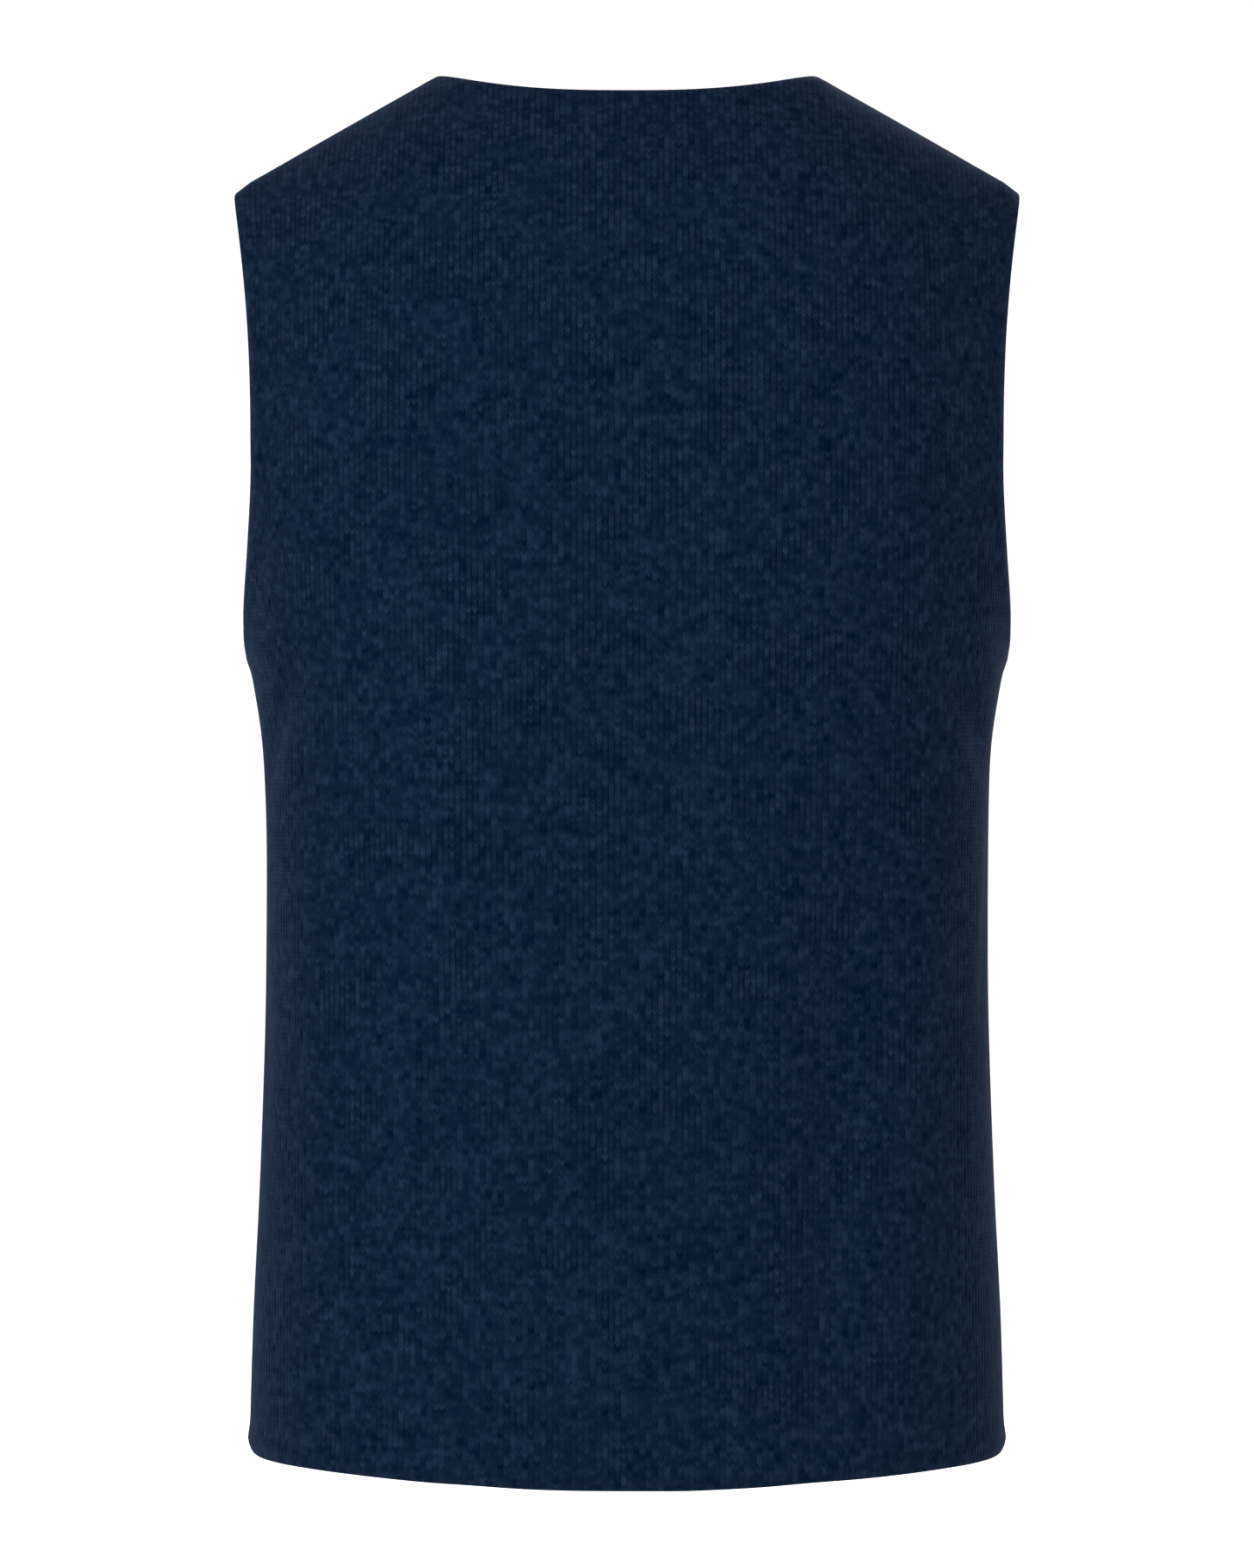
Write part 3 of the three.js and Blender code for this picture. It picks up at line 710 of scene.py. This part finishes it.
def wool(name, side):
    """Colour = heather * (1 + depth * (stitch - its mean)): painted shade in the grooves and painted
    light on the ridges, with depth from a noise and the height.
    """
    material = bpy.data.materials.new(name)
    material.use_nodes = True
    tree = material.node_tree
    shader = tree.nodes["Principled BSDF"]
    place = add(tree, "SeparateXYZ", {0: add(tree, "UVMap", uv_map="knit")})
    wale, leg, stitch = stitches(tree, place, side)
    ramp = heather(tree, place, wale, leg)
    flat_place = (tree.nodes["UV Map"], "UV")
    fuzz = add(tree, "TexNoise", {"Vector": flat_place, "Scale": 1 / PATCH_SIZE, "Detail": 3.0},
               noise_dimensions="2D")
    height = add(tree, "SeparateXYZ", {0: (add(tree, "TexCoord"), "Object")})
    # The base colour is multiplied by painted shade in the stitch grooves and painted light on their
    # ridges. Both are stronger higher up and outside the fuzzy patches.
    crisp = add(tree, "Math", {0: (height, "Z"), 1: 0.3, 2: fuzz}, operation="MULTIPLY_ADD")
    depth = add(tree, "MapRange", {0: crisp, 1: 0.36, 2: 0.56, 3: 0.0, 4: 1.1})
    groove = add(tree, "Math", {0: stitch, 1: MEAN_STITCH}, operation="SUBTRACT")
    painted_stitch_shade = add(tree, "Math", {0: groove, 1: depth, 2: 1.0}, operation="MULTIPLY_ADD")
    painted_stitch_shade_colour = add(tree, "CombineXYZ", {"X": painted_stitch_shade, "Y": painted_stitch_shade, "Z": painted_stitch_shade})
    colour = add(tree, "VectorMath", {0: ramp, 1: painted_stitch_shade_colour}, operation="MULTIPLY")
    tree.links.new(colour.outputs[0], shader.inputs["Base Color"])
    bump = add(tree, "Bump", {"Height": stitch, "Strength": 0.7, "Distance": 0.0006})
    tree.links.new(bump.outputs[0], shader.inputs["Normal"])
    shader.inputs["Roughness"].default_value = 0.92
    shader.inputs["Specular IOR Level"].default_value = 0.02
    shader.inputs["Sheen Weight"].default_value = 0.11
    shader.inputs["Sheen Roughness"].default_value = 0.16
    shader.inputs["Sheen Tint"].default_value = linear("#8BADE2")
    return material


knit_face = wool("heathered navy lambswool jersey, face side", FACE_SIDE)
knit_purl = wool("heathered navy lambswool jersey, purl side", PURL_SIDE)
print("materials:", knit_face.name, "and", knit_purl.name)

# %% [markdown]
# ## The two panels
# The back and the front come from the same functions with other numbers, as they would from the same
# knitting machine. Outside, jersey shows its face and inside its purl side, so a panel has a material
# for each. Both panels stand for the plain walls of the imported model.

# %% Panels
for panel in (BACK, FRONT):
    outer, inner, pattern = panel_skin(panel)
    rows, columns = outer.shape[:2]
    faces = skin_faces(rows, columns, turned_over=panel is FRONT)
    points = np.concatenate([outer.reshape(-1, 3), inner[1:-1, 1:-1].reshape(-1, 3)])
    uvs = np.concatenate([pattern.reshape(-1, 2), pattern[1:-1, 1:-1].reshape(-1, 2)])
    slots = np.repeat([0, 1], len(faces) // 2)
    piece = make_object(panel["name"] + "_panel", points, faces, uvs, slots, [knit_face, knit_purl])
    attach(piece, "root")
    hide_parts(panel["name"])

# %% [markdown]
# ## Places near an edge
# The edges are turned to the inside, so the pieces there run along an edge at a set distance from it. A
# straight step from the edge leaves the curved cloth a little. To put it back, the place on the cloth
# is moved until the cloth there is as near as it can be to the point, which is Newton's method.

# %% From points in space to the cloth
NEWTON_ROUNDS, MOST_STEPS = 8, 60


def chart_point(behind, high, u, v):
    """The bare cloth's right half: below the yoke at share u, height v, above it at column u, turn v."""
    level, share = np.where(high, YOKE_HEIGHT, v), np.where(high, 0.5, u)
    turn, column = np.where(high, v, 0.5), np.where(high, u, 0.5)
    halves = [np.where(high[..., None], arch_point(panel, column, turn), ring_point(panel, share, level))
              for panel in (BACK, FRONT)]
    return np.where(behind[..., None], halves[0], halves[1])


def inside_point(targets, offset):
    """The folded cloth nearest to each target, moved out of it by an offset, and the way out."""
    hand = np.where(targets[..., 0] < 0, -1.0, 1.0)
    mirror = np.stack([hand, np.ones_like(hand), np.ones_like(hand)], axis=-1)
    goal = targets * mirror
    behind, level = goal[..., 1] < 0, goal[..., 2] + NECK_HEIGHT
    high = level > YOKE_HEIGHT
    both = zip(ring_sizes(BACK, level)[:2], ring_sizes(FRONT, level)[:2])
    half_width, ring_depth = (np.where(behind, back, front) for back, front in both)
    low_u = np.arctan2(goal[..., 0] / half_width, np.abs(goal[..., 1]) / ring_depth) / (math.pi / 2)
    high_u = np.interp(goal[..., 0], [0, NECK_HALF_WIDTH, SHOULDER_HALF_WIDTH], [0, NECK_COLUMN, 1])
    feet = np.where(behind, foot_of(BACK, high_u)[..., 1], foot_of(FRONT, high_u)[..., 1])
    high_v = np.arccos(np.clip(goal[..., 1] / feet, 0, 1)) / (math.pi / 2)
    u, v = np.where(high, high_u, low_u), np.where(high, high_v, level)
    u_step, v_step = COLUMN_STEP, np.where(high, TURN_STEP, HEIGHT_STEP)
    for _ in range(NEWTON_ROUNDS):
        u_way = (chart_point(behind, high, u + u_step, v) - chart_point(behind, high, u - u_step, v)) / 2
        v_way = (chart_point(behind, high, u, v + v_step) - chart_point(behind, high, u, v - v_step)) / 2
        miss = goal - chart_point(behind, high, u, v)
        uu, uv, vv = (u_way**2).sum(-1), (u_way * v_way).sum(-1), (v_way**2).sum(-1)
        um, vm = (u_way * miss).sum(-1), (v_way * miss).sum(-1)
        square = np.maximum(uu * vv - uv**2, 1e-12)
        u = u + u_step * np.clip((um * vv - vm * uv) / square, -MOST_STEPS, MOST_STEPS)
        v = v + v_step * np.clip((vm * uu - um * uv) / square, -MOST_STEPS, MOST_STEPS)
    out = np.cross(u_way, v_way) * np.where(behind, 1, -1)[..., None]
    out /= np.linalg.norm(out, axis=-1, keepdims=True)
    arch_share = np.where(behind, share_at(BACK, u, np.full_like(u, YOKE_HEIGHT)),
                          share_at(FRONT, u, np.full_like(u, YOKE_HEIGHT)))
    share = np.where(high, arch_share, u)
    angle = hand * np.where(behind, 90 * share, 180 - 90 * share)
    point = chart_point(behind, high, u, v)
    fold = fold_depth(angle, point[..., 2] + NECK_HEIGHT, np.where(high, 1 + v, v / YOKE_HEIGHT))
    return (point + out * (fold + offset)[..., None]) * mirror, out * mirror


tested = inside_point(np.array([[100.0, -90.0, -400.0]]), np.zeros(1))[0]
print("the cloth nearest to (100, -90, -400) is at", tested[0].round(1), "mm")

# %% [markdown]
# ## Lines along the edges
# The free edges of the two panels join into four closed lines: the neckline, two armholes and the hem.
# At each point of such a line one direction leads into the cloth, square to the edge. At the point of
# the V the direction jumps, so a fan of directions fills the jump there.

# %% Helpers for edges
def edge_line(parts):
    """Points of the bare cloth along an edge: each part is a panel, its columns and its climbs."""
    pieces = []
    for panel, columns, climbs in parts:
        hand = np.where(columns < 0, -1.0, 1.0)
        points = cloth_point(panel, np.abs(columns), climbs)
        points[:, 0] *= hand
        pieces.append(points)
    return np.concatenate(pieces)


def ways_in(line, towards):
    """At each point of an edge, the direction into the cloth: square to the edge and to the way out."""
    along = np.gradient(line, axis=0)
    out = inside_point(line, np.zeros(len(line)))[1]
    way = np.cross(out, along)
    way /= np.linalg.norm(way, axis=-1, keepdims=True)
    return way * np.sign((way * towards).sum(-1, keepdims=True))


def even_steps(line, ways, depth, spacing):
    """A closed edge's points and ways in, again, at even steps along the line that lies depth inside."""
    line, ways = np.vstack([line, line[:1]]), np.vstack([ways, ways[:1]])
    inset = line + depth * ways
    walked = np.concatenate([[0], np.cumsum(np.linalg.norm(np.diff(inset, axis=0), axis=-1))])
    count = int(round(walked[-1] / spacing))
    at = np.arange(count) * walked[-1] / count
    line = np.stack([np.interp(at, walked, line[:, k]) for k in range(3)], axis=-1)
    ways = np.stack([np.interp(at, walked, ways[:, k]) for k in range(3)], axis=-1)
    return line, ways / np.linalg.norm(ways, axis=-1, keepdims=True), at


def climbs_up(panel, count):
    """Climbs of a panel's armhole edge, closer together at the underarm, where it turns level."""
    underarm, top = UNDERARM_HEIGHT / YOKE_HEIGHT, top_of(panel, np.array(1.0))
    return underarm + (top - underarm) * (1 - np.cos(np.linspace(0, math.pi / 2, count)))


print("the back's armhole climbs to", round(float(climbs_up(BACK, 2)[-1]), 3))

# %% Neckline
edges = {}
neck_columns = NECK_COLUMN * np.sin(np.linspace(0, math.pi / 2, 120))
across_back = np.concatenate([neck_columns[:0:-1], -neck_columns])
neck_line = edge_line([(FRONT, neck_columns, top_of(FRONT, neck_columns)),
                       (BACK, across_back, top_of(BACK, np.abs(across_back))),
                       (FRONT, -neck_columns[::-1], top_of(FRONT, neck_columns[::-1]))])
neck_ways = ways_in(neck_line, neck_line - neck_line.mean(axis=0))
fan_down = neck_ways[0] + neck_ways[-1]
fan_down /= np.linalg.norm(fan_down)
fan_side = neck_ways[0] - neck_ways[-1]
fan_side /= np.linalg.norm(fan_side)
fan_turn = math.atan2(neck_ways[0] @ fan_side, neck_ways[0] @ fan_down)
fan = np.linspace(-fan_turn, fan_turn, 42)[1:-1, None]
edges["neck"] = (np.vstack([neck_line, np.repeat(neck_line[:1], len(fan), axis=0)]),
                 np.vstack([neck_ways, np.sin(fan) * fan_side + np.cos(fan) * fan_down]))
print("the V's point turns by", round(math.degrees(2 * fan_turn)), "degrees")

# %% Armholes and hem
ARMHOLE_POINTS = 90
for side_name, hand in (("left", -1.0), ("right", 1.0)):
    rising, falling = climbs_up(BACK, ARMHOLE_POINTS), climbs_up(FRONT, ARMHOLE_POINTS)[::-1]
    armhole_line = edge_line([(BACK, np.full(ARMHOLE_POINTS, hand), rising),
                              (FRONT, np.full(ARMHOLE_POINTS - 1, hand), falling[:-1])])
    looped = np.vstack([armhole_line[-2:], armhole_line, armhole_line[:2]])
    armhole_ways = ways_in(looped, looped - armhole_line.mean(axis=0))[2:-2]
    edges["armhole_" + side_name] = (armhole_line, armhole_ways)
hem_columns = np.linspace(-1, 1, 301)
hem_line = edge_line([(BACK, hem_columns, bottom_of(BACK, np.abs(hem_columns))),
                      (FRONT, hem_columns[-2:0:-1], bottom_of(FRONT, np.abs(hem_columns[-2:0:-1])))])
looped = np.vstack([hem_line[-2:], hem_line, hem_line[:2]])
edges["hem"] = (hem_line, ways_in(looped, np.array([0, 0, 1.0]))[2:-2])
for name, (line, ways) in edges.items():
    print(name, "edge:", round(float(np.linalg.norm(np.diff(line, axis=0), axis=-1).sum())), "mm")

# %% [markdown]
# ## Turned edges
# Each turned part is one closed strip. Seen along the edge, it starts as thin as a blade where the
# panel's own rolled edge ends, 4 mm in, is 1.4 mm thick further on, and ends in a half round where the
# knit's last row was linked down. The strip at the V's point goes round it in a fan.

# %% Helpers for strips
TURN_DEPTHS = {"neck": 12, "armhole_left": 12, "armhole_right": 12, "hem": 20}
STRIP_INSIDE, STRIP_GAP, STRIP_SPACING = WALL + 1.48, 0.03, 3.4


def facing_out(points, faces):
    """The faces, turned over if the closed shape's volume comes out negative."""
    a, b, c, d = (points[faces[:, k]] for k in range(4))
    volume = np.einsum("ij,ij->i", a, np.cross(b, c) + np.cross(c, d)).sum()
    return faces if volume > 0 else faces[:, ::-1]


def loop_faces(rows, columns, closed=True):
    """Quads of a grid whose columns close up, and whose rows do too unless it is open."""
    grid = np.arange(rows * columns).reshape(rows, columns)
    grid = np.hstack([grid, grid[:, :1]])
    grid = np.vstack([grid, grid[:1]]) if closed else grid
    return np.stack([grid[:-1, :-1], grid[:-1, 1:], grid[1:, 1:], grid[1:, :-1]], axis=-1).reshape(-1, 4)


def dress(piece):
    """What every added piece of wool needs: the body it moves with."""
    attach(piece, "root")
    return piece


print("turned in, in mm:", TURN_DEPTHS)

# %% Strips along the edges
BLADE_STEPS = [4.0, 4.6, 5.4, 6.3, 7.2, 8.2, 9.2]
for edge_name, depth in TURN_DEPTHS.items():
    line, ways, at = even_steps(*edges[edge_name], depth, STRIP_SPACING)
    flat_in = np.array([*BLADE_STEPS, *np.linspace(10.4, depth - 0.75, 3 + depth // 7)])
    turned = 1 - smoothstep(flat_in, TURNED_FROM, TURNED_TO)
    panel_face = WALL + (EDGE_WALL - WALL) * turned + STRIP_GAP
    round_turns = np.linspace(0, math.pi, 7)[1:-1]
    half = (STRIP_INSIDE - WALL - STRIP_GAP) / 2
    inset = np.concatenate([flat_in, flat_in[-1] + half * np.sin(round_turns), flat_in[::-1]])
    round_end = STRIP_INSIDE - half + half * np.cos(round_turns)
    below = np.concatenate([np.full(len(flat_in), STRIP_INSIDE), round_end, panel_face[::-1]])
    targets = line[:, None] + inset[None, :, None] * ways[:, None]
    points = inside_point(targets, np.broadcast_to(-below, targets.shape[:-1]))[0]
    faces = facing_out(points.reshape(-1, 3), loop_faces(*points.shape[:2]))
    uvs = np.stack(np.broadcast_arrays(at[:, None], inset[None]), axis=-1).reshape(-1, 2)
    strip = make_object(edge_name + "_turning", points.reshape(-1, 3), faces, uvs,
                        np.zeros(len(faces), dtype=int), [knit_face])
    dress(strip)

# %% [markdown]
# ## Seams inside
# Behind each seam the two cut edges stand inwards as a narrow bound ridge, 3.4 mm wide. It is a tube
# of oval section that thickens and thins with the overlock thread, once every 2.8 mm. It also closes
# the gap between the panels to the light.

# %% Tubes
def tube(name, path, outs, half_wide, half_high, sides, closed):
    """An oval tube: path + side * half_wide * cos + out * half_high * sin, with half sizes per point."""
    looped = np.vstack([path[-1:], path, path[:1]]) if closed else path
    along = np.gradient(looped, axis=0)
    along = along[1:-1] if closed else along
    side = np.cross(along, outs)
    side /= np.linalg.norm(side, axis=-1, keepdims=True)
    turns = np.linspace(0, 2 * math.pi, sides, endpoint=False)
    section = side[:, None] * (half_wide[:, None] * np.cos(turns))[..., None]
    section = section + outs[:, None] * (half_high[:, None] * np.sin(turns))[..., None]
    points = (path[:, None] + section).reshape(-1, 3)
    first_faces = loop_faces(len(path), sides, closed)
    faces = facing_out(points, first_faces)
    turned_over = faces is not first_faces
    ends = []
    if not closed:
        first, last = np.arange(sides), np.arange(sides) + len(points) - sides
        ends = [first if turned_over else first[::-1], last[::-1] if turned_over else last]
    walked = np.concatenate([[0], np.cumsum(np.linalg.norm(np.diff(path, axis=0), axis=-1))])
    uvs = np.stack(np.broadcast_arrays(turns[None] * 0.8, walked[:, None]), axis=-1).reshape(-1, 2)
    faces = [*faces.tolist(), *(end.tolist() for end in ends)]
    made = make_object(name, points, faces, uvs, np.zeros(len(faces), dtype=int), [knit_face])
    return dress(made)


print("tubes close up in a loop, or end in flat faces")

# %% Seam ridges
OVERLOCK_PITCH = 2.8
RIDGE_HALF_WIDTH, RIDGE_HALF_HEIGHT = 1.7, 0.85


def seam_ridge(name, line):
    """A tube along a seam, 1 + 0.13 * sin(distance) thick. Its ends taper inside the rolled edges."""
    walked = np.concatenate([[0], np.cumsum(np.linalg.norm(np.diff(line, axis=0), axis=-1))])
    at = np.linspace(0, walked[-1], int(walked[-1] / 0.7))
    line = np.stack([np.interp(at, walked, line[:, k]) for k in range(3)], axis=-1)
    from_end = np.minimum(at, at[-1] - at)
    path, outs = inside_point(line, -EDGE_WALL / 2 - 0.9 * smoothstep(from_end, 3, 8))
    taper = np.sqrt(np.clip(from_end / 2.5, 0.03, 1))
    swell = taper * (1 + 0.13 * np.sin(at * 2 * math.pi / OVERLOCK_PITCH))
    return tube(name, path, outs, RIDGE_HALF_WIDTH * swell, RIDGE_HALF_HEIGHT * swell, 10, closed=False)


for side_name, hand in (("left", -1.0), ("right", 1.0)):
    side_climbs = np.linspace(HEM_LEVEL + HEM_DIP + 0.5, UNDERARM_HEIGHT - 0.6, 200) / YOKE_HEIGHT
    side_line = edge_line([(FRONT, np.full(200, hand), side_climbs)])
    seam_ridge("side_seam_" + side_name, side_line)
    shoulder_columns = np.linspace(NECK_COLUMN + 0.004, 1 - 0.004, 120)
    shoulder_line = edge_line([(FRONT, hand * shoulder_columns, top_of(FRONT, shoulder_columns))])
    seam_ridge("shoulder_seam_" + side_name, shoulder_line)

# %% [markdown]
# ## Stitches along the turned edges
# The last row of a turned edge is linked to the panel by hand or machine, with the same wool. Its
# thread slants forth and back over the strip's end, 4.6 mm to a pair of stitches, in one closed tube.

# %% Stitches along the turned edges
STITCH_PITCH = 4.6
THREAD_HALF_WIDTH, THREAD_HALF_HEIGHT = 0.36, 0.3

for edge_name, depth in TURN_DEPTHS.items():
    line, ways, at = even_steps(*edges[edge_name], depth, STITCH_PITCH / 10)
    loops = round((at[-1] + at[1]) / STITCH_PITCH)
    phase = at / (at[-1] + at[1]) * loops * 2 * math.pi
    inset = depth + 0.1 + 1.5 * np.sin(phase)
    below = WALL + 0.28 + 1.55 * (1 - smoothstep(inset, depth - 0.9, depth + 0.7))
    path, outs = inside_point(line + inset[:, None] * ways, -below)
    half_wide, half_high = np.full(len(path), THREAD_HALF_WIDTH), np.full(len(path), THREAD_HALF_HEIGHT)
    tube(edge_name + "_stitches", path, outs, half_wide, half_high, 6, closed=True)
